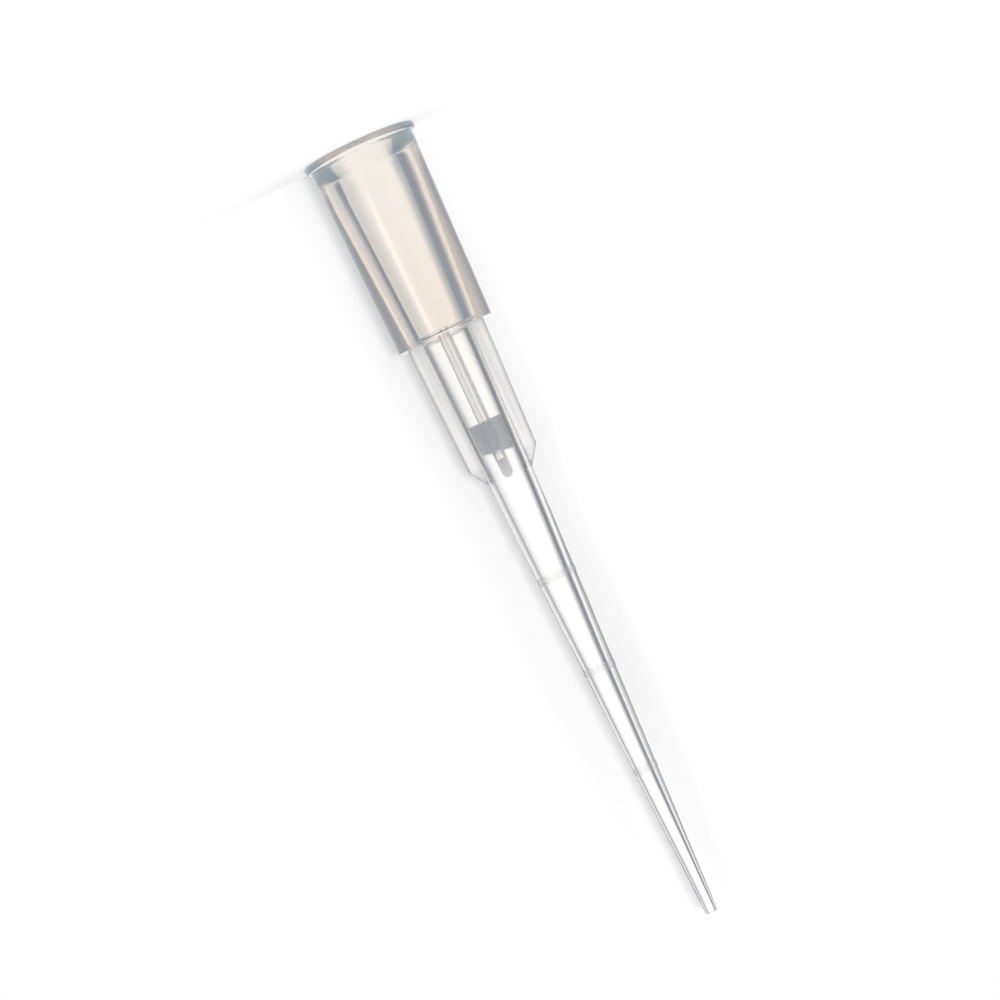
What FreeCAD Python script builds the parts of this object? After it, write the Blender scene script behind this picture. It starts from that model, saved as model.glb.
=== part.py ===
"""Graduated filter pipette tip, 0.5 to 10 microlitres, in millimetres.

The tip stands on its open mouth. The origin is the centre of the mouth rim and +Z runs up the axis
to the dispensing end. Two pieces: the moulded body, and the porous plug pressed into its bore.
"""
import FreeCAD, Part
import math
import os

# --- body, outside --------------------------------------------------------------------------
LENGTH = 42.5
RIM_R = 3.02
RIM_H = 0.40
COLLAR_TOP_R = 2.785
COLLAR_END_R = 2.57
COLLAR_END_Z = 10.50
SHOULDER_RISE = 0.05
TUBE_TOP_R = 1.30
TUBE_END_R = 1.19
SHAFT_KNEE_Z = 20.9
SHAFT_KNEE_R = 1.125
NOZZLE_R = 0.31

# --- body, inside ---------------------------------------------------------------------------
MOUTH_R = 2.68
FUNNEL_END_R = 2.17
FUNNEL_H = 0.45
LEAD_IN_H = 1.36
SEAL_R = 1.62
SEAL_H = 1.25
SOCKET_END_R = 1.25
SOCKET_END_Z = 9.95
CHAMBER_TOP_R = 1.03
CHAMBER_TOP_Z = 10.30
CHAMBER_END_R = 0.79
CHAMBER_END_Z = 19.3
BORE_KNEE_R = 0.472
BORE_KNEE_Z = 28.3
ORIFICE_R = 0.19
ORIFICE_H = 1.0

# --- ribs under the collar ------------------------------------------------------------------
RIB_COUNT = 4
RIB_THICKNESS = 0.57
RIB_TOP_R = 2.08
RIB_END_R = 1.86
RIB_END_Z = 17.37
RIB_CHAMFER_END_Z = 18.34
RIB_EDGE_ROUND = 0.22

# --- graduation rings -----------------------------------------------------------------------
RING_HEIGHTS = (23.86, 29.0, 34.53)
RING_WIDTH = 0.40
RING_PROUD = 0.025

# --- filter plug ----------------------------------------------------------------------------
PLUG_TOP_Z = 15.28
PLUG_LENGTH = 1.66
PLUG_CUT_ANGLE = 8.0
PLUG_CUT_HEADING = -110.0

# --- edge rounds ----------------------------------------------------------------------------
RIM_ROUND = 0.13
COLLAR_ROUND = 0.09
ROOT_ROUND = 0.15


def point(r, z):
    """A point of a half section, radius out along X."""
    return FreeCAD.Vector(r, 0, z)


def along(start, end, z):
    """The radius at height z on the straight line from start to end, each (radius, height)."""
    share = (z - start[1]) / (end[1] - start[1])
    return start[0] + share * (end[0] - start[0])


def rounded_section(corners):
    """A closed half section through corners (radius, height, round), each corner a tangent arc."""
    runs = []
    for i, (r, z, size) in enumerate(corners):
        here = point(r, z)
        back = (point(*corners[i - 1][:2]) - here).normalize()
        ahead = (point(*corners[(i + 1) % len(corners)][:2]) - here).normalize()
        half = back.getAngle(ahead) / 2
        if size == 0 or math.isclose(half, math.pi / 2, abs_tol=1e-4):
            runs.append((here, here, here))
            continue
        setback = size / math.tan(half)
        middle = (back + ahead).normalize() * (size / math.sin(half) - size)
        runs.append((here + back * setback, here + middle, here + ahead * setback))
    edges = []
    for i, (first, middle, last) in enumerate(runs):
        if first != last:
            edges.append(Part.Arc(first, middle, last).toShape())
        edges.append(Part.LineSegment(last, runs[(i + 1) % len(runs)][0]).toShape())
    return Part.Face(Part.Wire(edges))


def turned(section):
    """The half section turned once round the axis."""
    return section.revolve(FreeCAD.Vector(), FreeCAD.Vector(0, 0, 1), 360).Solids[0]


def tube_radius(z):
    """Outside radius of the slim tube between the collar and the knee."""
    return along((TUBE_TOP_R, COLLAR_END_Z), (TUBE_END_R, RIB_CHAMFER_END_Z), z)


def shaft_radius(z):
    """Outside radius of the tapered shaft above its knee."""
    return along((SHAFT_KNEE_R, SHAFT_KNEE_Z), (NOZZLE_R, LENGTH), z)


def ring_corners(z):
    """The four corners of one raised graduation ring, centred on height z."""
    low = z - RING_WIDTH / 2
    high = z + RING_WIDTH / 2
    return [
        (shaft_radius(low), low, 0),
        (shaft_radius(low) + RING_PROUD, low, 0),
        (shaft_radius(high) + RING_PROUD, high, 0),
        (shaft_radius(high), high, 0),
    ]


def outside_corners():
    """The outline from the mouth rim up to the dispensing end."""
    corners = [
        (RIM_R, 0, RIM_ROUND),
        (RIM_R, RIM_H, RIM_ROUND),
        (COLLAR_TOP_R, RIM_H, 0),
        (COLLAR_END_R, COLLAR_END_Z, COLLAR_ROUND),
        (TUBE_TOP_R, COLLAR_END_Z + SHOULDER_RISE, ROOT_ROUND),
        (TUBE_END_R, RIB_CHAMFER_END_Z, 0),
        (SHAFT_KNEE_R, SHAFT_KNEE_Z, 0),
    ]
    for z in RING_HEIGHTS:
        corners += ring_corners(z)
    corners.append((NOZZLE_R, LENGTH, 0))
    return corners


def inside_corners():
    """The bore from the orifice back down to the mouth."""
    return [
        (ORIFICE_R, LENGTH, 0),
        (ORIFICE_R, LENGTH - ORIFICE_H, 0),
        (BORE_KNEE_R, BORE_KNEE_Z, 0),
        (CHAMBER_END_R, CHAMBER_END_Z, 0),
        (CHAMBER_TOP_R, CHAMBER_TOP_Z, 0),
        (SOCKET_END_R, SOCKET_END_Z, 0),
        (SEAL_R, LEAD_IN_H + SEAL_H, 0),
        (SEAL_R, LEAD_IN_H, 0),
        (FUNNEL_END_R, FUNNEL_H, 0),
        (MOUTH_R, 0, 0),
    ]


def rib(angle):
    """One stiffening rib, tapered outwards, chamfered at its end, with rounded outer edges."""
    root_r = (CHAMBER_TOP_R + TUBE_END_R) / 2
    top_z = COLLAR_END_Z - SHOULDER_RISE
    sunk_z = along((RIB_END_Z, RIB_END_R), (RIB_CHAMFER_END_Z, TUBE_END_R), root_r)
    outline = [
        point(root_r, top_z),
        point(RIB_TOP_R, top_z),
        point(RIB_END_R, RIB_END_Z),
        point(root_r, sunk_z),
    ]
    face = Part.Face(Part.makePolygon(outline + outline[:1]))
    face.translate(FreeCAD.Vector(0, -RIB_THICKNESS / 2, 0))
    blade = face.extrude(FreeCAD.Vector(0, RIB_THICKNESS, 0))
    rising = [e for e in blade.Edges if e.BoundBox.ZLength > RIB_EDGE_ROUND]
    outer = [e for e in rising if e.CenterOfMass.x > tube_radius(RIB_END_Z)]
    blade = blade.makeFillet(RIB_EDGE_ROUND, outer)
    blade.rotate(FreeCAD.Vector(), FreeCAD.Vector(0, 0, 1), angle)
    return blade


def tip_body():
    """The one-piece polypropylene moulding: rim, collar, ribs, shaft and graduation rings."""
    shell = turned(rounded_section(outside_corners() + inside_corners()))
    ribs = [rib(360 / RIB_COUNT * i) for i in range(RIB_COUNT)]
    return shell.fuse(ribs).removeSplitter().Solids[0]


def filter_plug():
    """Sintered plug, wedged in the tapering bore, its lower cut a little askew."""
    bore = ((CHAMBER_TOP_R, CHAMBER_TOP_Z), (CHAMBER_END_R, CHAMBER_END_Z))
    reach = PLUG_LENGTH * 2
    top_r = along(*bore, PLUG_TOP_Z)
    end_z = PLUG_TOP_Z + reach
    blank = Part.makeCone(top_r, along(*bore, end_z), reach, point(0, PLUG_TOP_Z))
    waste = Part.makeBox(reach * 2, reach * 2, reach, FreeCAD.Vector(-reach, -reach, 0))
    waste.rotate(FreeCAD.Vector(), FreeCAD.Vector(0, 1, 0), -PLUG_CUT_ANGLE)
    waste.rotate(FreeCAD.Vector(), FreeCAD.Vector(0, 0, 1), PLUG_CUT_HEADING)
    waste.translate(point(0, PLUG_TOP_Z + PLUG_LENGTH))
    return blank.cut(waste).Solids[0]


def main():
    os.makedirs("parts", exist_ok=True)
    for name, shape in (("tip_body", tip_body()), ("filter_plug", filter_plug())):
        assert shape.isValid(), name
        shape.exportStep(f"parts/{name}.step")
        print(name, round(shape.Volume, 3), "cubic mm", shape.BoundBox)


main()
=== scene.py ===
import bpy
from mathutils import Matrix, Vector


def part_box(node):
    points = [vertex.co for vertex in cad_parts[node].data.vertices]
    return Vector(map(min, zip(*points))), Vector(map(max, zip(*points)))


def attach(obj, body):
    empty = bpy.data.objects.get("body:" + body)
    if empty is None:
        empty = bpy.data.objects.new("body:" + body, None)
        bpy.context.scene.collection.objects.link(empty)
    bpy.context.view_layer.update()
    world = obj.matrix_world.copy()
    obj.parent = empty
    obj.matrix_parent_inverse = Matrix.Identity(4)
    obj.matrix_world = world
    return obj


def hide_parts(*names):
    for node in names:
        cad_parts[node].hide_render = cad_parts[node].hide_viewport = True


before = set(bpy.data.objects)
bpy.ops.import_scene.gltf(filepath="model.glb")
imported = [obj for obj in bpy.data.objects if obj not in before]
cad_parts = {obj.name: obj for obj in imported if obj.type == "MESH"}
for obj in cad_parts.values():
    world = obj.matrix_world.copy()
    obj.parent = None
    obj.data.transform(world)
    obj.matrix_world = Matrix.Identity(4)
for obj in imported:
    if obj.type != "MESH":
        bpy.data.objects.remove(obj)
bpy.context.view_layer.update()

import math

import bmesh
import bpy
from mathutils import Matrix, Vector

bl_info = {
    "name": "Filter Pipette Tip",
    "version": (1, 0, 0),
    "blender": (4, 5, 0),
    "location": "3D View > Sidebar > Pipette Tip",
    "description": "Moulds a clear filter tip, presses its porous plug in and sets the stage",
    "category": "Add Mesh",
}

MM = 0.001
BODY = "root"
AROUND = 160
# How near a point must be to a cutting plane to lie on it
FINE = 0.0001 * MM


# --- settings -------------------------------------------------------------------------------


def length(name, description, millimetres):
    """A size that a user may change."""
    return bpy.props.FloatProperty(
        name=name,
        description=description,
        default=millimetres * MM,
        min=0,
        precision=5,
        unit="LENGTH",
        subtype="DISTANCE",
    )


def angle(name, description, degrees):
    """An angle that a user may change."""
    return bpy.props.FloatProperty(
        name=name, description=description, default=math.radians(degrees), unit="ROTATION"
    )


def amount(name, description, default):
    """A plain number that a user may change."""
    return bpy.props.FloatProperty(name=name, description=description, default=default, min=0)


def colour(name, description, default):
    """A colour that a user may change."""
    return bpy.props.FloatVectorProperty(
        name=name, description=description, default=default, min=0, max=1, subtype="COLOR"
    )


class TipBodySettings(bpy.types.PropertyGroup):
    """Sizes and finish of the moulded body."""

    rim_radius: length("Rim radius", "Outside radius of the rim at the open mouth", 3.02)
    rim_height: length("Rim height", "Height of the rim's flange", 0.40)
    rim_round: length("Rim round", "Round on the flange's outer edges", 0.13)
    collar_start: length("Collar start", "Collar's outside radius at the flange", 2.785)
    collar_end: length("Collar end", "Collar's outside radius at its shoulder", 2.57)
    collar_top: length("Collar top", "Height of the collar's shoulder", 10.50)
    shoulder_rise: length("Shoulder rise", "How far the shoulder slopes up to the tube", 0.05)
    tube_start: length("Tube start", "Outside radius of the tube at the shoulder", 1.30)
    tube_end: length("Tube end", "Outside radius of the tube where the ribs end", 1.19)
    knee_radius: length("Knee radius", "Outside radius where the long taper starts", 1.125)
    knee_height: length("Knee height", "Height where the long taper starts", 20.9)
    nozzle_radius: length("Nozzle radius", "Outside radius at the dispensing end", 0.31)
    mouth_radius: length("Mouth radius", "Inside radius at the mouth", 2.68)
    funnel_radius: length("Funnel radius", "Inside radius where the mouth's funnel eases", 2.17)
    funnel: length("Funnel", "Height of the mouth's funnel", 0.45)
    lead_in: length("Lead-in", "Height of the cone that guides the nozzle in", 1.36)
    seal_radius: length("Seal radius", "Inside radius of the straight seal land", 1.62)
    seal_height: length("Seal height", "Height of the seal land", 1.25)
    socket_radius: length("Socket radius", "Inside radius at the socket's floor", 1.25)
    socket_top: length("Socket top", "Height of the socket's floor", 10.28)
    chamber_start: length("Chamber start", "Bore radius behind the socket's floor", 1.03)
    chamber_base: length("Chamber base", "Height where the filter chamber starts", 10.44)
    chamber_end: length("Chamber end", "Bore radius at the end of the chamber", 0.79)
    chamber_top: length("Chamber top", "Height where the chamber ends", 19.3)
    bore_knee_radius: length("Bore knee radius", "Bore radius where its taper eases", 0.472)
    bore_knee_height: length("Bore knee height", "Height where the bore's taper eases", 28.3)
    orifice_radius: length("Orifice radius", "Radius of the dispensing orifice", 0.19)
    orifice_length: length("Orifice length", "Straight length of the orifice", 1.0)
    core_bow: length("Core bow", "How far the mould's core leaned to one side in mid shaft", 0.072)
    rib_thickness: length("Rib thickness", "Thickness of a stiffening rib", 0.57)
    rib_start: length("Rib start", "A rib's outer radius at the shoulder", 2.08)
    rib_end: length("Rib end", "A rib's outer radius where its chamfer starts", 1.86)
    rib_top: length("Rib top", "Height where a rib's chamfer starts", 17.37)
    rib_tail: length("Rib tail", "Height where a rib runs out on the tube", 18.34)
    rib_round: length("Rib round", "Round on a rib's outer edges", 0.25)
    flange_round: length("Flange round", "Round where the collar meets the flange", 0.06)
    collar_round: length("Collar round", "Round on the collar's shoulder", 0.09)
    tube_round: length("Tube round", "Round where the tube meets the shoulder", 0.13)
    mouth_round: length("Mouth round", "Round on the mouth's inner edge", 0.05)
    lead_in_round: length("Lead-in round", "Round at both ends of the lead-in cone", 0.12)
    socket_round: length("Socket round", "Round at both ends of the socket's floor", 0.08)
    nozzle_round: length("Nozzle round", "Round on the nozzle's outer edge", 0.02)
    ring_width: length("Ring width", "Width of a graduation ring", 0.40)
    ring_proud: length("Ring height", "How far a graduation ring stands proud", 0.025)
    tint: colour("Tint", "Colour of the clear plastic", (1.0, 1.0, 1.0))
    # The rib tint colours the ribs' moulded streaks and also the painted shade on their tails' end
    # face
    rib_streak_and_shade_tint: colour("Rib tint", "Colour of the ribs' matt streaks", (0.72, 0.71, 0.73))
    rib_matt: amount("Rib roughness", "How matt a rib's sides are", 0.58)
    tail_matt: amount("Rib tail roughness", "How much more matt a rib's tail is", 0.32)
    edge_polish: amount("Rib edge polish", "How much less matt a rib's outer edge is", 0.36)
    wall_matt: amount("Wall roughness", "How matt the tube's wall is beside the ribs", 0.18)
    mouth_matt: amount("Mouth roughness", "How matt the flange and the mouth's cone are", 0.12)
    ring_matt: amount("Ring roughness", "How frosted the graduation rings are", 0.24)
    haze: colour("Haze colour", "Colour of the light that the plastic scatters", (0.38, 0.60, 0.86))
    haze_collar: amount("Collar haze", "How milky the thick collar is", 280)
    haze_shaft: amount("Shaft haze", "How milky the thin shaft is", 60)


RIB_COUNT = 4
RING_HEIGHTS = (23.86 * MM, 29.0 * MM, 34.53 * MM)
# A ring's softly raised profile: (place across it, share of its height)
RING_PROFILE = (
    (-1, 0), (-0.8, 0.25), (-0.6, 0.75), (-0.35, 1), (0.35, 1), (0.6, 0.75), (0.8, 0.25), (1, 0),
)
# Longest step of the bore's section, so that it follows its leaning centre line
BORE_STEP = 2.4 * MM
# The bore's centre line: (height, share of the core bow)
CORE_LINE = ((0, 0.6), (10, 0.6), (14, 0.35), (18, 0.5), (25, 1.0), (33, 0.95), (42.5, 0))


class FilterSettings(bpy.types.PropertyGroup):
    """Sizes and colours of the porous plug."""

    length: length("Length", "Length on the plug's axis", 1.66)
    cut_angle: angle("Cut angle", "How far the cut is from square", 8)
    cut_heading: angle("Cut heading", "Which way the longer side faces", -110)
    gap: length("Gap", "Air gap between the plug and the bore", 0.012)
    grain: length("Grain", "Size of a sintered grain", 0.14)
    depth: length("Pore depth", "How deep the pores between grains are", 0.02)
    skin: length("Skin detail", "Size of the faces on the grainy skin", 0.028)
    light: colour("Grain colour", "Colour of the grains", (0.93, 0.95, 1.0))
    # The pore colour is painted shade in the hollows between the grains
    pore_shade: colour("Pore colour", "Colour in the pores", (0.80, 0.82, 0.89))


class StageSettings(bpy.types.PropertyGroup):
    """Floor, light and camera."""

    floor_radius: length("Floor radius", "Radius of the pale floor", 600)
    floor_colour: colour("Floor colour", "Colour of the floor", (0.86, 0.86, 0.86))
    distance: length("Camera distance", "From the camera to the tip's axis", 186)
    card_width: length("Card width", "Width of the card behind the tip", 22)
    card_height: length("Card height", "Height of the card behind the tip", 50)
    card_gap: length("Card gap", "From the tip's axis to the card", 2.9)
    card_turn: angle("Card turn", "How far the card is turned from facing +X", 1.6)
    lamp_aim: length("Lamp aim", "Height that the lamps point at", 18)
    look_height: length("Look height", "Height at the middle of the view", 19.21)
    look_side: length("Look side", "How far the middle of the view is beside the axis", 1.0)
    focal: bpy.props.FloatProperty(
        name="Focal length", description="Lens, in millimetres", default=133, min=10
    )
    view_turn: angle("View turn", "How far the view is turned round the tip from square on", -3.6)
    roll: bpy.props.FloatProperty(
        name="Roll",
        description="How far the tip's dispensing end points right of straight down",
        default=math.radians(24.77),
        subtype="ANGLE",
    )


# --- modelling helpers ----------------------------------------------------------------------


def nothing_selected():
    """Back to object mode with nothing selected."""
    if bpy.context.object and bpy.context.object.mode != "OBJECT":
        bpy.ops.object.mode_set(mode="OBJECT")
    bpy.ops.object.select_all(action="DESELECT")


def only(piece):
    """Only this piece selected, and active."""
    nothing_selected()
    piece.select_set(True)
    bpy.context.view_layer.objects.active = piece


def finished(modifier, piece):
    """The modifier applied to the piece."""
    only(piece)
    bpy.ops.object.modifier_apply(modifier=modifier.name)


def select_edges(piece, wanted):
    """In edit mode, only the edges that pass the test are selected."""
    bpy.ops.mesh.select_mode(type="EDGE")
    bpy.ops.mesh.select_all(action="DESELECT")
    shape = bmesh.from_edit_mesh(piece.data)
    for edge in shape.edges:
        edge.select_set(wanted(edge))
    shape.select_flush_mode()
    bmesh.update_edit_mesh(piece.data)


def on_ring(radius, height, off=0.0):
    """A test for edges that lie on one ring of a turned shape."""
    near = 0.004 * MM

    def test(edge):
        return all(
            abs(v.co.z - height) < near and abs(math.hypot(v.co.x, v.co.y - off) - radius) < near
            for v in edge.verts
        )

    return test


def turned(name, section):
    """A closed turned shape. Its section is a list of (radius, height, sideways place of the axis).

    A circle is extruded and scaled from one place in the section to the next, and its two ends
    are bridged.
    """
    nothing_selected()
    radius, height, side = section[0]
    bpy.ops.mesh.primitive_circle_add(vertices=AROUND, radius=radius, location=(0, side, height))
    piece = bpy.context.object
    piece.name = piece.data.name = name
    bpy.ops.object.transform_apply(location=True, rotation=True, scale=True)
    bpy.ops.object.mode_set(mode="EDIT")
    bpy.ops.mesh.select_all(action="SELECT")
    for next_radius, next_height, next_side in section[1:]:
        move = (0, next_side - side, next_height - height)
        bpy.ops.mesh.extrude_edges_move(TRANSFORM_OT_translate={"value": move})
        grow = next_radius / radius
        bpy.ops.transform.resize(value=(grow, grow, 1), center_override=(0, next_side, next_height))
        radius, height, side = next_radius, next_height, next_side
    first, last = on_ring(*section[0]), on_ring(*section[-1])
    select_edges(piece, lambda edge: first(edge) or last(edge))
    bpy.ops.mesh.bridge_edge_loops()
    bpy.ops.mesh.select_all(action="SELECT")
    bpy.ops.mesh.normals_make_consistent(inside=False)
    bpy.ops.object.mode_set(mode="OBJECT")
    return piece


def rounded(piece, rings, segments=5):
    """Each ring (radius, height, side, round) bevelled to that round."""
    only(piece)
    bpy.ops.object.mode_set(mode="EDIT")
    for radius, height, side, size in rings:
        select_edges(piece, on_ring(radius, height, side))
        bpy.ops.mesh.bevel(offset=size, segments=segments, affect="EDGES", clamp_overlap=False)
    bpy.ops.object.mode_set(mode="OBJECT")


def on_line(start, end, height):
    """The radius at a height on the straight line between two (radius, height)."""
    return start[0] + (height - start[1]) / (end[1] - start[1]) * (end[0] - start[0])


def core_side(s, height):
    """How far to one side the bore's centre lies at a height."""
    for (low, a), (high, b) in zip(CORE_LINE, CORE_LINE[1:]):
        if low * MM <= height <= high * MM:
            along = (height - low * MM) / ((high - low) * MM)
            ease = (1 - math.cos(math.pi * along)) / 2
            return s.core_bow * (a + (b - a) * ease)
    return 0.0


def dressed(piece, node, material):
    """The piece takes the CAD node's place, rides on the body and wears the material."""
    piece.data.materials.clear()
    piece.data.materials.append(material)
    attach(piece, BODY)
    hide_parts(node)


# --- the moulded body -----------------------------------------------------------------------


def outside(s):
    """The body's outline from the mouth to the dispensing end."""
    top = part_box("tip_body")[1].z
    knee, nozzle = (s.knee_radius, s.knee_height), (s.nozzle_radius, top)
    section = [
        (s.rim_radius, 0),
        (s.rim_radius, s.rim_height),
        (s.collar_start, s.rim_height),
        (s.collar_end, s.collar_top),
        (s.tube_start, s.collar_top + s.shoulder_rise),
        (s.tube_end, s.rib_tail),
        knee,
    ]
    for middle in RING_HEIGHTS:
        for across, proud in RING_PROFILE:
            height = middle + across * s.ring_width / 2
            section.append((on_line(knee, nozzle, height) + proud * s.ring_proud, height))
    return section + [nozzle]


def bore(s):
    """The body's inside from the dispensing end back to the mouth."""
    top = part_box("tip_body")[1].z
    corners = [
        (s.orifice_radius, top),
        (s.orifice_radius, top - s.orifice_length),
        (s.bore_knee_radius, s.bore_knee_height),
        (s.chamber_end, s.chamber_top),
        (s.chamber_start, s.chamber_base),
        (s.socket_radius, s.socket_top),
        (s.seal_radius, s.lead_in + s.seal_height),
        (s.seal_radius, s.lead_in),
        (s.funnel_radius, s.funnel),
        (s.mouth_radius, 0),
    ]
    section = [corners[0]]
    for start, end in zip(corners, corners[1:]):
        steps = max(1, round(abs(end[1] - start[1]) / BORE_STEP))
        for i in range(1, steps + 1):
            height = start[1] + (end[1] - start[1]) * i / steps
            section.append((on_line(start, end, height), height))
    return section


def rib(s):
    """One stiffening rib along +X: a bar, tapered, chamfered at its tail and rounded outside."""
    root = (s.chamber_start + s.tube_end) / 2
    base = s.collar_top - s.shoulder_rise
    sunk = on_line((s.rib_top, s.rib_end), (s.rib_tail, s.tube_end), root)
    nothing_selected()
    middle = ((root + s.rib_start) / 2, 0, (base + sunk) / 2)
    bpy.ops.mesh.primitive_cube_add(size=1, location=middle)
    blade = bpy.context.object
    blade.name = "rib_blade"
    blade.dimensions = (s.rib_start - root, s.rib_thickness, sunk - base)
    bpy.ops.object.transform_apply(location=True, rotation=True, scale=True)
    bpy.ops.object.mode_set(mode="EDIT")
    bpy.ops.mesh.select_all(action="SELECT")
    bpy.ops.mesh.bisect(plane_co=(0, 0, s.rib_top), plane_no=(0, 0, 1), threshold=FINE)
    chamfer = Vector((s.rib_tail - s.rib_top, 0, s.rib_end - s.tube_end)).normalized()
    near = 0.01 * MM
    select_edges(
        blade,
        lambda e: all(v.co.x > s.tube_start and abs(v.co.z - s.rib_top) < near for v in e.verts),
    )
    bpy.ops.transform.translate(value=(s.rib_end - s.rib_start, 0, 0))
    bpy.ops.mesh.select_all(action="SELECT")
    bpy.ops.mesh.bisect(
        plane_co=(s.rib_end, 0, s.rib_top),
        plane_no=chamfer,
        use_fill=True,
        clear_outer=True,
        threshold=FINE,
    )
    select_edges(
        blade,
        lambda e: abs(e.verts[0].co.z - e.verts[1].co.z) > s.rib_round
        and (e.verts[0].co.x + e.verts[1].co.x) / 2 > s.tube_start,
    )
    bpy.ops.mesh.bevel(offset=s.rib_round, segments=8, affect="EDGES", clamp_overlap=False)
    bpy.ops.object.mode_set(mode="OBJECT")
    return blade


def rib_copies(blade):
    """The rib and its copies, evenly spaced round the tube, each with its own mesh."""
    blades = [blade]
    for i in range(1, RIB_COUNT):
        only(blade)
        bpy.ops.object.duplicate(linked=False)
        copy = bpy.context.object
        copy.rotation_euler.z = math.tau * i / RIB_COUNT
        bpy.ops.object.transform_apply(location=False, rotation=True, scale=False)
        blades.append(copy)
    return blades


def joined(piece, others):
    """The piece fused with the others into one solid skin."""
    for other in others:
        union = piece.modifiers.new("Fuse", "BOOLEAN")
        union.operation = "UNION"
        union.solver = "MANIFOLD"
        union.object = other
        finished(union, piece)
        only(other)
        bpy.ops.object.delete()
    only(piece)
    bpy.ops.object.mode_set(mode="EDIT")
    bpy.ops.mesh.select_all(action="SELECT")
    bpy.ops.mesh.remove_doubles(threshold=0.002 * MM)
    bpy.ops.object.mode_set(mode="OBJECT")


def smoothed(piece, degrees=28):
    """Smooth shading with sharp corners, weighted by face so that flats stay flat."""
    only(piece)
    bpy.ops.object.shade_smooth_by_angle(angle=math.radians(degrees))
    weights = piece.modifiers.new("Flat faces lead", "WEIGHTED_NORMAL")
    weights.mode = "FACE_AREA"
    weights.keep_sharp = True
    finished(weights, piece)


def turned_edges(s):
    """The body's rounded rings: (radius, height, sideways place of the axis, round)."""
    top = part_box("tip_body")[1].z
    outer = [
        (s.rim_radius, 0, s.rim_round),
        (s.rim_radius, s.rim_height, s.rim_round),
        (s.collar_start, s.rim_height, s.flange_round),
        (s.collar_end, s.collar_top, s.collar_round),
        (s.tube_start, s.collar_top + s.shoulder_rise, s.tube_round),
    ]
    inner = [
        (s.mouth_radius, 0, s.mouth_round),
        (s.funnel_radius, s.funnel, s.lead_in_round),
        (s.seal_radius, s.lead_in, s.lead_in_round),
        (s.socket_radius, s.socket_top, s.socket_round),
        (s.chamber_start, s.chamber_base, s.socket_round),
    ]
    rings = [(radius, height, 0, size) for radius, height, size in outer]
    rings += [(radius, height, core_side(s, height), size) for radius, height, size in inner]
    return rings + [(s.nozzle_radius, top, 0, s.nozzle_round)]


class MOULD_OT_body(bpy.types.Operator):
    """Turn the body's skin, fuse the ribs on and give it its clear plastic"""

    bl_idname = "pipette_tip.body"
    bl_label = "Mould Tip Body"

    def execute(self, context):
        s = context.scene.tip_body
        section = [(r, z, 0.0) for r, z in outside(s)]
        section += [(r, z, core_side(s, z)) for r, z in bore(s)]
        body = turned("tip_moulding", section)
        rounded(body, turned_edges(s))
        joined(body, rib_copies(rib(s)))
        smoothed(body)
        dressed(body, "tip_body", clear_polypropylene(s))
        return {"FINISHED"}


# --- the porous plug ------------------------------------------------------------------------


class PRESS_OT_filter(bpy.types.Operator):
    """Cut the porous plug from sintered stock and seat it in the chamber"""

    bl_idname = "pipette_tip.filter"
    bl_label = "Press Filter Plug"

    def execute(self, context):
        s = context.scene.tip_filter
        body = context.scene.tip_body
        low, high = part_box("filter_plug")
        start = (body.chamber_start, body.chamber_base)
        end = (body.chamber_end, body.chamber_top)
        wide = on_line(start, end, low.z) - s.gap
        spare = 0.4 * MM
        tall = high.z - low.z + spare
        narrow = on_line(start, end, low.z + tall) - s.gap
        side = core_side(body, (low.z + high.z) / 2)
        nothing_selected()
        bpy.ops.mesh.primitive_cylinder_add(
            vertices=96, radius=wide, depth=tall, location=(0, side, low.z + tall / 2)
        )
        plug = bpy.context.object
        plug.name = plug.data.name = "filter_plug_porous"
        bpy.ops.object.transform_apply(location=True, rotation=True, scale=True)
        bpy.ops.object.mode_set(mode="EDIT")
        top = low.z + tall
        select_edges(plug, lambda e: all(v.co.z > top - 0.01 * MM for v in e.verts))
        shrink = narrow / wide
        bpy.ops.transform.resize(value=(shrink, shrink, 1), center_override=(0, side, top))
        bpy.ops.mesh.select_all(action="SELECT")
        tilt = -math.sin(s.cut_angle)
        towards = (tilt * math.cos(s.cut_heading), tilt * math.sin(s.cut_heading))
        bpy.ops.mesh.bisect(
            plane_co=(0, side, low.z + s.length),
            plane_no=(*towards, math.cos(s.cut_angle)),
            use_fill=True,
            clear_outer=True,
            threshold=FINE,
        )
        bpy.ops.mesh.select_all(action="SELECT")
        bpy.ops.mesh.normals_make_consistent(inside=False)
        bpy.ops.object.mode_set(mode="OBJECT")
        grainy(plug, s)
        dressed(plug, "filter_plug", porous_polyethylene(s))
        return {"FINISHED"}


def grown(piece, factor):
    """The piece scaled about the origin, with the scale applied."""
    only(piece)
    bpy.ops.transform.resize(value=(factor, factor, factor), center_override=(0, 0, 0))
    bpy.ops.object.transform_apply(location=True, rotation=True, scale=True)


def grainy(plug, s):
    """The plug's skin made fine and pushed in between its grains, while a thousand times larger."""
    large = 1000
    grown(plug, large)
    remesh = plug.modifiers.new("Fine skin", "REMESH")
    remesh.mode = "VOXEL"
    remesh.voxel_size = s.skin * large
    finished(remesh, plug)
    grains = bpy.data.textures.new("sintered grains", "VORONOI")
    grains.noise_scale = s.grain * large
    grains.distance_metric = "DISTANCE_SQUARED"
    pores = plug.modifiers.new("Pores", "DISPLACE")
    pores.texture = grains
    pores.texture_coords = "LOCAL"
    pores.strength = -s.depth * large
    pores.mid_level = 0.0
    finished(pores, plug)
    grown(plug, 1 / large)
    only(plug)
    bpy.ops.object.shade_smooth()


# --- materials ------------------------------------------------------------------------------


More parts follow.
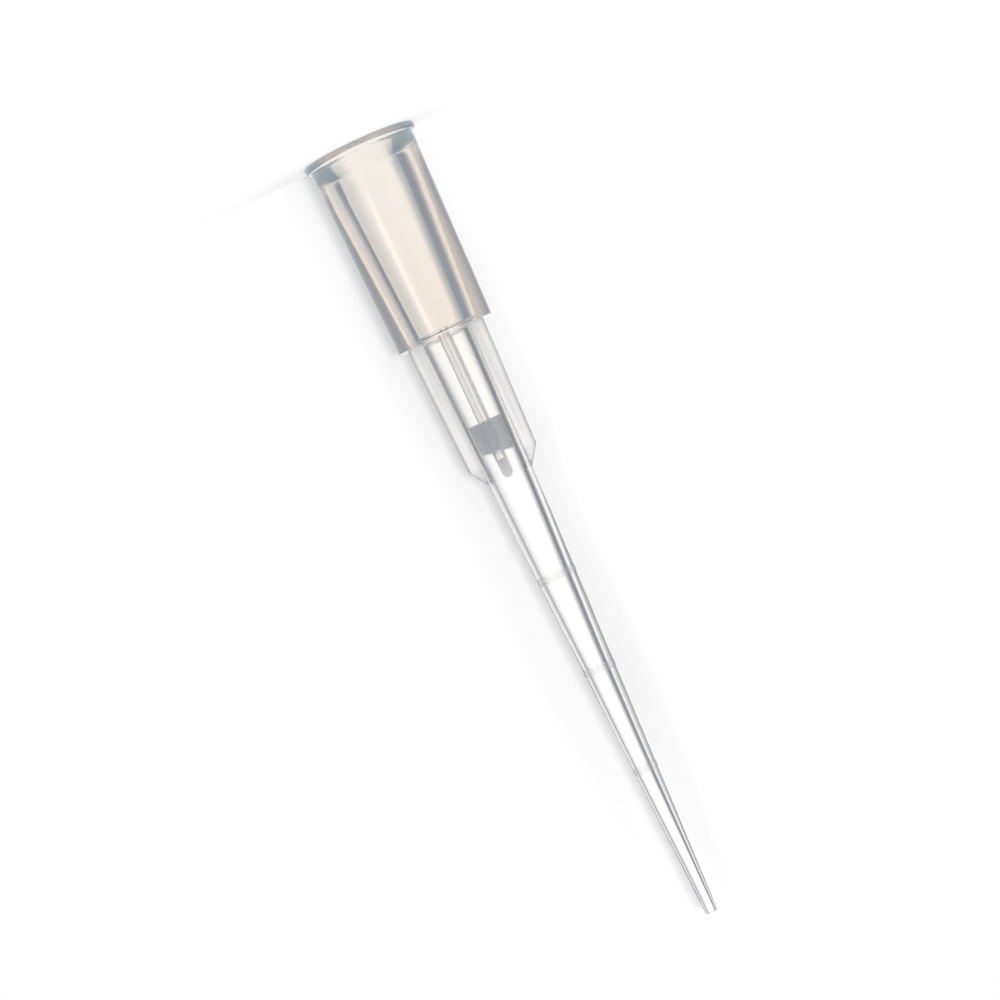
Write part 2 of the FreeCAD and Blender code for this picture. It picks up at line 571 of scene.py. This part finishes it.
class Nodes:
    """Adds nodes to a tree and links them."""

    def __init__(self, tree):
        self.tree = tree
        self.place = 0

    def add(self, kind, inputs=None, **settings):
        """A node with its settings and inputs: plain values, or sockets to link."""
        node = self.tree.nodes.new(kind)
        self.place += 1
        node.location = (self.place % 8 * 200, -self.place // 8 * 260)
        for name, value in settings.items():
            setattr(node, name, value)
        for name, value in (inputs or {}).items():
            if isinstance(value, bpy.types.NodeSocket):
                self.tree.links.new(value, node.inputs[name])
            else:
                node.inputs[name].default_value = value
        return node

    def link(self, start, end):
        """Two sockets joined."""
        self.tree.links.new(start, end)

    def math(self, operation, *values):
        """A math node's output."""
        return self.add("ShaderNodeMath", dict(enumerate(values)), operation=operation).outputs[0]

    def total(self, first, *rest):
        """Values added up."""
        for value in rest:
            first = self.math("ADD", first, value)
        return first

    def product(self, first, *rest):
        """Values multiplied together."""
        for value in rest:
            first = self.math("MULTIPLY", first, value)
        return first

    def ramp(self, value, start, end, smooth=False):
        """A value mapped from start to end, each (value in, value out), and held beyond them."""
        return self.add(
            "ShaderNodeMapRange",
            {
                "Value": value,
                "From Min": start[0],
                "From Max": end[0],
                "To Min": start[1],
                "To Max": end[1],
            },
            interpolation_type="SMOOTHSTEP" if smooth else "LINEAR",
        ).outputs[0]

    def between(self, share, first, second):
        """A value part of the way from the first to the second."""
        return self.add("ShaderNodeMix", {"Factor": share, "A": first, "B": second}).outputs[0]

    def blend(self, share, first, second):
        """A colour part of the way from the first to the second."""
        inputs = {"Factor": share, 6: first, 7: second}
        return self.add("ShaderNodeMix", inputs, data_type="RGBA").outputs[2]

    def group(self, tree, **inputs):
        """The outputs of a placed node group."""
        return self.add("ShaderNodeGroup", inputs, node_tree=tree).outputs

    def vector(self, operation, *values):
        """A vector math node's outputs."""
        inputs = dict(enumerate(values))
        return self.add("ShaderNodeVectorMath", inputs, operation=operation).outputs

    def noise(self, place, scale, detail, roughness=0.5):
        """A noise texture's value."""
        return self.add(
            "ShaderNodeTexNoise",
            {"Vector": place, "Scale": scale, "Detail": detail, "Roughness": roughness},
        ).outputs["Fac"]

    def place_and_axes(self):
        """The place on the piece, and its three axes."""
        place = self.add("ShaderNodeTexCoord").outputs["Object"]
        return place, self.add("ShaderNodeSeparateXYZ", {0: place}).outputs


def new_group(name, inputs, outputs):
    """A shader node group with named inputs (name, default) and outputs (name, kind)."""
    tree = bpy.data.node_groups.new(name, "ShaderNodeTree")
    for label, default in inputs:
        kind = "NodeSocketVector" if default is None else "NodeSocketFloat"
        socket = tree.interface.new_socket(label, in_out="INPUT", socket_type=kind)
        if default is not None:
            socket.default_value = default
    for label, kind in outputs:
        tree.interface.new_socket(label, in_out="OUTPUT", socket_type=kind)
    n = Nodes(tree)
    return tree, n, n.add("NodeGroupInput").outputs, n.add("NodeGroupOutput").inputs


def band_group():
    """Group: 1 between two heights, easing to 0 outside them."""
    name = "Height band"
    if name in bpy.data.node_groups:
        return bpy.data.node_groups[name]
    tree, n, given, result = new_group(
        name,
        (("Height", 0.0), ("Low", 0.0), ("High", 1.0), ("Soft", 0.0001)),
        (("Mask", "NodeSocketFloat"),),
    )
    up = n.math("DIVIDE", n.math("SUBTRACT", given["Height"], given["Low"]), given["Soft"])
    down = n.math("DIVIDE", n.math("SUBTRACT", given["High"], given["Height"]), given["Soft"])
    inside = n.total(n.math("MINIMUM", up, down), 0.5)
    n.link(n.add("ShaderNodeClamp", {"Value": inside}).outputs[0], result["Mask"])
    return tree


def surface_group():
    """Group: a moulded surface's fine marks and drawn streaks, and their height."""
    name = "Moulded surface"
    if name in bpy.data.node_groups:
        return bpy.data.node_groups[name]
    tree, n, given, result = new_group(
        name,
        (("Place", None), ("Scale", 1500.0), ("Stretch", 0.12)),
        (
            ("Height", "NodeSocketFloat"),
            ("Marks", "NodeSocketFloat"),
            ("Streaks", "NodeSocketFloat"),
        ),
    )
    squeeze = n.add("ShaderNodeCombineXYZ", {"X": 1.0, "Y": 1.0, "Z": given["Stretch"]})
    stretched = n.vector("MULTIPLY", given["Place"], squeeze.outputs[0])[0]
    drawn = n.vector("MULTIPLY", given["Place"], (1.0, 1.0, 0.04))[0]
    flow = n.noise(stretched, given["Scale"], detail=3.0, roughness=0.55)
    fine = n.noise(given["Place"], n.product(given["Scale"], 6.0), detail=2.0)
    lines = n.noise(drawn, n.product(given["Scale"], 3.0), detail=2.0)
    n.link(n.total(flow, n.product(fine, 0.15)), result["Height"])
    n.link(fine, result["Marks"])
    n.link(n.ramp(lines, (0.42, 0.0), (0.62, 1.0)), result["Streaks"])
    return tree


def new_material(name):
    """A material with an empty node tree and its output."""
    material = bpy.data.materials.new(name)
    material.use_nodes = True
    material.node_tree.nodes.clear()
    n = Nodes(material.node_tree)
    return material, n, n.add("ShaderNodeOutputMaterial").inputs


def rib_zones(n, s, axes, across):
    """Masks: the ribs, their outer edge, their end face, their tail and the wall beside them."""
    height = axes["Z"]
    under_collar = n.group(
        band_group(),
        Height=height,
        Low=s.collar_top + s.shoulder_rise + 0.02 * MM,
        High=s.rib_tail,
        Soft=0.02 * MM,
    )["Mask"]
    wall = n.ramp(
        height,
        (s.collar_top, s.tube_start + 0.01 * MM),
        (s.rib_tail, s.tube_end + 0.01 * MM),
    )
    edge = n.ramp(
        height,
        (s.collar_top, s.rib_start - s.rib_round),
        (s.rib_top, s.rib_end - s.rib_round),
    )
    inset = n.math("MINIMUM", n.math("ABSOLUTE", axes["X"]), n.math("ABSOLUTE", axes["Y"]))
    from_wall = n.math("ABSOLUTE", n.math("SUBTRACT", across, wall))
    return (
        n.product(under_collar, n.math("GREATER_THAN", across, wall)),
        n.math("GREATER_THAN", across, edge),
        n.math("LESS_THAN", inset, s.rib_thickness * 0.38),
        n.math("GREATER_THAN", height, s.rib_top),
        n.product(under_collar, n.math("LESS_THAN", from_wall, 0.05 * MM)),
    )


def ring_zone(n, s, height):
    """Mask of the graduation rings."""
    zone = 0.0
    for middle in RING_HEIGHTS:
        ring = n.group(
            band_group(),
            Height=height,
            Low=middle - s.ring_width / 2,
            High=middle + s.ring_width / 2,
            Soft=0.03 * MM,
        )["Mask"]
        zone = n.math("MAXIMUM", zone, ring)
    return zone


def mouth_zone(n, s, height, across):
    """Mask of the flange and of the cone inside the mouth."""
    cone = n.product(
        n.math("LESS_THAN", height, s.lead_in), n.math("LESS_THAN", across, s.mouth_radius)
    )
    return n.math("MAXIMUM", cone, n.math("LESS_THAN", height, s.rim_height))


# Roughness of the plain skin, and what its fine marks add
SKIN_MATT, MARKS_MATT = 0.02, 0.03
# Strength of the bump on the plain skin, what the ribs add, and its depth
SKIN_BUMP, RIB_BUMP, BUMP_DEPTH = 0.03, 0.3, 0.02 * MM
# How much fainter the streaks are on a rib's outer edge, and how much painted shade greys the end
# face of its tail
EDGE_FADE, TAIL_PAINTED_SHADE = 0.7, 0.8


def clear_polypropylene(s):
    """Clear, slightly milky plastic. The ribs are matt and streaked, with painted shade on their
    tails' end face, and the graduation rings frosted.
    """
    material, n, out = new_material("natural_polypropylene")
    place, axes = n.place_and_axes()
    squares = [n.product(axes[way], axes[way]) for way in "XY"]
    across = n.math("SQRT", n.total(*squares))
    skin = n.group(surface_group(), Place=place, Scale=900.0, Stretch=0.10)
    rib, edge, face, tail, wall = rib_zones(n, s, axes, across)

    rib_matt = n.math(
        "SUBTRACT",
        n.total(s.rib_matt, n.product(tail, s.tail_matt)),
        n.product(edge, face, s.edge_polish),
    )
    rough = n.total(
        SKIN_MATT,
        n.product(skin["Marks"], MARKS_MATT),
        n.product(rib, rib_matt),
        n.product(mouth_zone(n, s, axes["Z"], across), s.mouth_matt),
        n.product(ring_zone(n, s, axes["Z"]), s.ring_matt),
    )
    rough = n.math("MAXIMUM", rough, n.product(wall, s.wall_matt))

    sides = n.math("SUBTRACT", 1.0, n.product(edge, EDGE_FADE))
    streaks = n.product(skin["Streaks"], sides)
    # Ribs greyed by their moulded streaks, and their tails' end face greyed by painted shade
    streaks_and_painted_shade = n.product(rib, n.math("MAXIMUM", streaks, n.product(tail, face, TAIL_PAINTED_SHADE)))
    bump = n.add(
        "ShaderNodeBump",
        {
            "Strength": n.total(SKIN_BUMP, n.product(rib, RIB_BUMP)),
            "Distance": BUMP_DEPTH,
            "Height": skin["Height"],
        },
    )
    shader = n.add(
        "ShaderNodeBsdfPrincipled",
        {
            "Base Color": n.blend(streaks_and_painted_shade, (*s.tint, 1), (*s.rib_streak_and_shade_tint, 1)),
            "IOR": 1.49,
            "Transmission Weight": 1.0,
            "Metallic": 0.0,
            "Roughness": rough,
            "Normal": bump.outputs[0],
        },
    )
    milky = n.ramp(
        axes["Z"], (s.collar_top, s.haze_collar), (s.knee_height, s.haze_shaft), smooth=True
    )
    haze = n.add(
        "ShaderNodeVolumeScatter", {"Color": (*s.haze, 1), "Density": milky, "Anisotropy": 0.0}
    )
    n.link(shader.outputs[0], out["Surface"])
    n.link(haze.outputs[0], out["Volume"])
    return material


def porous_polyethylene(s):
    """Matt sintered grains, with painted shade darkening the pores between them."""
    material, n, out = new_material("porous_polyethylene")
    place, _ = n.place_and_axes()
    fine = 1 / s.grain
    cells = {"Vector": place, "Scale": fine}
    grains = n.add("ShaderNodeTexVoronoi", cells, feature="F1").outputs["Distance"]
    gaps = n.add("ShaderNodeTexVoronoi", cells, feature="DISTANCE_TO_EDGE").outputs["Distance"]
    speckle = n.total(0.7, n.product(n.noise(place, 2.2 * fine, detail=3.0), 0.6))
    # Painted shade in the pores, times a random speckle in the grains' tone
    shade = n.product(n.ramp(gaps, (0.02, 0.0), (0.30, 1.0)), speckle)
    bump = n.add(
        "ShaderNodeBump",
        {"Strength": 0.5, "Distance": BUMP_DEPTH, "Height": n.math("SUBTRACT", 1.0, grains)},
    )
    shader = n.add(
        "ShaderNodeBsdfPrincipled",
        {
            "Base Color": n.blend(shade, (*s.pore_shade, 1), (*s.light, 1)),
            "Roughness": 0.9,
            "Subsurface Weight": 1.0,
            "Subsurface Scale": 0.5 * MM,
            "Subsurface Radius": (1.0, 1.0, 1.0),
            "Normal": bump.outputs[0],
        },
    )
    n.link(shader.outputs[0], out["Surface"])
    return material


# --- stage ----------------------------------------------------------------------------------

# What stands round the tip: (degrees from straight behind it, brightness level with the tip)
SURROUND = (
    (-180, 0.6), (-112, 0.55), (-104, 0.95), (-80, 0.95), (-75, 0.17), (-68, 0.20), (-60, 0.32),
    (-56, 0.42), (-52, 0.50), (-46, 0.58), (-40, 0.76), (-20, 0.80), (-14, 0.94), (-8, 1.1),
    (18, 1.1), (24, 0.88), (28, 0.68), (34, 0.55), (40, 0.42), (46, 0.30), (52, 0.23),
    (104, 0.25), (112, 0.8), (118, 1.1), (152, 1.1), (160, 0.8), (166, 0.6), (180, 0.6),
)
# How far round the stretches behind and beside the tip reach, in degrees from straight behind it
BEHIND_TIP, BESIDE_TIP = 50, 105
# The most brightness above and below the strips, beside the tip and on the camera's side
SIDE_LEVEL, FRONT_LEVEL = 0.3, 0.6
# How steeply up or down the bright strips end, and the plain light above and below starts
STRIPS_END = (0.14, 0.26)
PLAIN_STARTS = (0.45, 0.75)
# Brightness of the plain light above and below, and of the light on matt surfaces
PLAIN_LEVEL = 1.0
ROOM_LIGHT = (0.75, 0.75, 0.75, 1)
# Where the floor's studio is seen from, so that the floor carries on from what stands round it
SEEN_FROM = (0, 0, 8 * MM)
# A dim level is a little bluer: the power that each of red, green and blue is raised to
DIM_TINT = (1.04, 1.02, 0.93)
WHITE = (1, 1, 1, 1)
# The floor's own glow near the tip and far from it, so that it's white and keeps the shadow
FLOOR_GLOW = ((12 * MM, 0.28), (90 * MM, 0.7))
# The card's own glow: its share at the foot and further up, on its left and right, and at its sides
# The glow at the foot, stronger on the right half than the left, is painted light on the tip's
# shadow; the glow at the sides whitens the card's edges
CARD_PAINTED_LIGHT_FOOT = ((5 * MM, 1.0), (30 * MM, 0.0))
CARD_PAINTED_LIGHT_HALVES = ((2 * MM, 0.09), (-2 * MM, 0.16))
CARD_SIDES = ((2.5 * MM, 0.0), (7 * MM, 0.10))
# Soft lamps: (name, degrees round from the camera, degrees up, distance, size, watts, in gloss)
LAMPS = (
    ("key_lamp", -6, 4, 400 * MM, (65 * MM, 65 * MM), 0.48, False),
    ("fill_lamp", -50, 30, 400 * MM, (300 * MM, 300 * MM), 0.36, False),
    ("strip_lamp", 26.6, 0, 60 * MM, (12 * MM, 36 * MM), 0.0028, True),
)


def past_strips(turn, level):
    """Brightness above and below the strips, which end at the tip's sides and behind the camera."""
    if abs(turn) < BEHIND_TIP:
        return level
    return min(level, SIDE_LEVEL if abs(turn) < BESIDE_TIP else FRONT_LEVEL)


def surround_group(s):
    """Group: the studio's colour round the tip, from the direction seen from its axis."""
    name = "Studio surround"
    if name in bpy.data.node_groups:
        return bpy.data.node_groups[name]
    tree, n, given, result = new_group(
        name, (("Direction", None),), (("Colour", "NodeSocketColor"),)
    )
    unit = n.vector("NORMALIZE", given["Direction"])[0]
    axes = n.add("ShaderNodeSeparateXYZ", {0: unit}).outputs
    turn = n.math("ARCTAN2", n.product(axes["Y"], -1.0), n.product(axes["X"], -1.0))
    start = 0.5 - s.view_turn / math.tau
    share = n.math("FRACT", n.total(n.math("DIVIDE", turn, math.tau), start))
    ramp = n.add("ShaderNodeValToRGB", {"Fac": share})
    stops = ramp.color_ramp.elements
    stops.remove(stops[1])
    for i, (degrees, level) in enumerate(SURROUND):
        stop = stops[0] if i == 0 else stops.new(degrees / 360 + 0.5)
        stop.color = (level, past_strips(degrees, level), level, 1)
    levels = n.add("ShaderNodeSeparateColor", {"Color": ramp.outputs["Color"]}).outputs
    rise = n.math("ABSOLUTE", axes["Z"])
    above = n.ramp(rise, (STRIPS_END[0], 0.0), (STRIPS_END[1], 1.0), smooth=True)
    steep = n.ramp(rise, (PLAIN_STARTS[0], 0.0), (PLAIN_STARTS[1], 1.0), smooth=True)
    level = n.between(steep, n.between(above, levels["Red"], levels["Green"]), PLAIN_LEVEL)
    tinted = [n.math("POWER", level, power) for power in DIM_TINT]
    shade = n.add("ShaderNodeCombineColor", dict(enumerate(tinted)))
    n.link(shade.outputs[0], result["Colour"])
    return tree


def studio_world(s):
    """White behind everything the camera sees, the studio in glass and gloss, and plain light."""
    world = bpy.data.worlds.new("studio")
    bpy.context.scene.world = world
    world.use_nodes = True
    world.node_tree.nodes.clear()
    n = Nodes(world.node_tree)
    out = n.add("ShaderNodeOutputWorld").inputs
    path = n.add("ShaderNodeLightPath").outputs
    direction = n.add("ShaderNodeTexCoord").outputs["Generated"]
    studio = n.group(surround_group(s), Direction=direction)["Colour"]
    through = n.math("MAXIMUM", path["Is Transmission Ray"], path["Is Glossy Ray"])
    light = n.blend(through, ROOM_LIGHT, studio)
    seen = n.blend(path["Is Camera Ray"], light, WHITE)
    back = n.add("ShaderNodeBackground", {"Color": seen, "Strength": 1.0})
    n.link(back.outputs[0], out["Surface"])


def glowing_matt(n, s, strength):
    """A matt surface in the floor's colour, with some glow of its own."""
    matt = n.add("ShaderNodeBsdfDiffuse", {"Color": (*s.floor_colour, 1)})
    glow = n.add("ShaderNodeEmission", {"Color": WHITE, "Strength": strength})
    return n.add("ShaderNodeAddShader", {0: matt.outputs[0], 1: glow.outputs[0]}).outputs[0]


def floor_material(s):
    """Pale floor that keeps shadows, white to the camera; in glass and gloss it glows with the
    studio's strips as painted light.
    """
    material, n, out = new_material("studio_floor")
    path = n.add("ShaderNodeLightPath").outputs
    place, _ = n.place_and_axes()
    away = n.vector("LENGTH", place)["Value"]
    lit = glowing_matt(n, s, n.product(path["Is Camera Ray"], n.ramp(away, *FLOOR_GLOW)))
    # Painted light: in glass and gloss the floor glows with the studio's light and dark strips
    # instead of being lit
    from_tip = n.vector("SUBTRACT", place, SEEN_FROM)[0]
    studio = n.group(surround_group(s), Direction=from_tip)["Colour"]
    shown = n.add("ShaderNodeEmission", {"Color": studio, "Strength": 1.0})
    through = n.math("MAXIMUM", path["Is Transmission Ray"], path["Is Glossy Ray"])
    both = n.add("ShaderNodeMixShader", {0: through, 1: lit, 2: shown.outputs[0]})
    n.link(both.outputs[0], out["Surface"])
    return material


def card_material(s):
    """Pale card, clear from behind. Its glow paints light near its foot, more on its right half,
    lightening the tip's shadow there.
    """
    material, n, out = new_material("studio_card")
    _, axes = n.place_and_axes()
    # Painted light: more glow near the card's foot, and more on its right half than its left
    painted_light_halves = n.product(n.ramp(axes["Z"], *CARD_PAINTED_LIGHT_FOOT), n.ramp(axes["Y"], *CARD_PAINTED_LIGHT_HALVES))
    sides = n.ramp(n.math("ABSOLUTE", axes["Y"]), *CARD_SIDES, smooth=True)
    lit = glowing_matt(n, s, n.total(painted_light_halves, sides))
    clear = n.add("ShaderNodeBsdfTransparent").outputs[0]
    behind = n.add("ShaderNodeNewGeometry").outputs["Backfacing"]
    both = n.add("ShaderNodeMixShader", {0: behind, 1: lit, 2: clear})
    n.link(both.outputs[0], out["Surface"])
    return material


def lamp(name, turn, rise, distance, size, watts, glossy, aim):
    """A soft lamp pointed at the tip, from an angle round it and an angle up."""
    nothing_selected()
    bpy.ops.object.light_add(type="AREA")
    light = bpy.context.object
    light.name = name
    light.data.shape = "RECTANGLE"
    light.data.size, light.data.size_y = size
    light.data.energy = watts
    away = Vector(
        (math.cos(turn) * math.cos(rise), math.sin(turn) * math.cos(rise), math.sin(rise))
    )
    light.location = Vector((0, 0, aim)) + away * distance
    light.rotation_euler = (-away).to_track_quat("-Z", "Y").to_euler()
    light.visible_camera = False
    light.visible_transmission = False
    light.visible_glossy = glossy


class SET_OT_stage(bpy.types.Operator):
    """Lay the pale floor, light the studio and place the camera"""

    bl_idname = "pipette_tip.stage"
    bl_label = "Set Stage"

    def execute(self, context):
        s = context.scene.tip_stage
        self.lay_floor(context, s)
        studio_world(s)
        for name, turn, rise, *rest in LAMPS:
            lamp(name, s.view_turn + math.radians(turn), math.radians(rise), *rest, s.lamp_aim)
        self.stand_card(context, s)
        self.place_camera(context, s)
        return {"FINISHED"}

    def lay_floor(self, context, s):
        """The wide round floor."""
        nothing_selected()
        bpy.ops.mesh.primitive_circle_add(vertices=128, radius=s.floor_radius, fill_type="NGON")
        floor = context.object
        floor.name = "studio_floor"
        floor.data.materials.append(floor_material(s))

    def stand_card(self, context, s):
        """A pale card close behind the tip, which catches its soft shadow."""
        nothing_selected()
        bpy.ops.mesh.primitive_plane_add(size=1)
        card = context.object
        card.name = "backdrop_card"
        middle = (0, 0, 0)
        bpy.ops.transform.resize(value=(s.card_height, s.card_width, 1))
        bpy.ops.transform.rotate(value=math.radians(-90), orient_axis="Y", center_override=middle)
        bpy.ops.transform.translate(value=(-s.card_gap, 0, s.card_height / 2))
        bpy.ops.transform.rotate(value=-s.card_turn, orient_axis="Z", center_override=middle)
        bpy.ops.object.transform_apply(location=True, rotation=True, scale=True)
        card.data.materials.append(card_material(s))
        for ray in ("diffuse", "glossy", "transmission", "volume_scatter", "shadow"):
            setattr(card, "visible_" + ray, False)

    def place_camera(self, context, s):
        """Level with the tip, rolled so that the dispensing end points down to the right."""
        data = bpy.data.cameras.new("camera")
        camera = bpy.data.objects.new("camera", data)
        context.collection.objects.link(camera)
        right = Vector((0, -math.cos(s.roll), math.sin(s.roll)))
        up = Vector((0, -math.sin(s.roll), -math.cos(s.roll)))
        back = right.cross(up)
        square_on = Matrix.Translation((s.distance, s.look_side, s.look_height)) @ Matrix(
            (right, up, back)
        ).transposed().to_4x4()
        camera.matrix_world = Matrix.Rotation(s.view_turn, 4, "Z") @ square_on
        data.sensor_width = 36
        data.lens = s.focal
        data.clip_start = 0.01
        data.clip_end = 5
        context.scene.camera = camera
        # The haze shows only by light that bounces in it many times
        context.scene.cycles.volume_bounces = 12
        context.scene.view_settings.view_transform = "Standard"


# --- add-on ---------------------------------------------------------------------------------


class VIEW3D_PT_pipette_tip(bpy.types.Panel):
    """Lists the tip's settings and steps"""

    bl_label = "Pipette Tip"
    bl_idname = "VIEW3D_PT_pipette_tip"
    bl_space_type = "VIEW_3D"
    bl_region_type = "UI"
    bl_category = "Pipette Tip"

    def draw(self, context):
        layout = self.layout
        for step, owner in STEPS:
            box = layout.box()
            box.operator(step.bl_idname)
            settings = getattr(context.scene, owner)
            for name in settings.bl_rna.properties.keys():
                if name not in ("rna_type", "name"):
                    box.prop(settings, name)


SETTINGS = {"tip_body": TipBodySettings, "tip_filter": FilterSettings, "tip_stage": StageSettings}
STEPS = ((MOULD_OT_body, "tip_body"), (PRESS_OT_filter, "tip_filter"), (SET_OT_stage, "tip_stage"))
CLASSES = (*SETTINGS.values(), *(step for step, _ in STEPS), VIEW3D_PT_pipette_tip)


def register():
    for cls in CLASSES:
        bpy.utils.register_class(cls)
    for name, group in SETTINGS.items():
        setattr(bpy.types.Scene, name, bpy.props.PointerProperty(type=group))


def unregister():
    for name in SETTINGS:
        delattr(bpy.types.Scene, name)
    for cls in reversed(CLASSES):
        bpy.utils.unregister_class(cls)


def main():
    register()
    bpy.ops.pipette_tip.body()
    bpy.ops.pipette_tip.filter()
    bpy.ops.pipette_tip.stage()


if __name__ == "__main__":
    main()
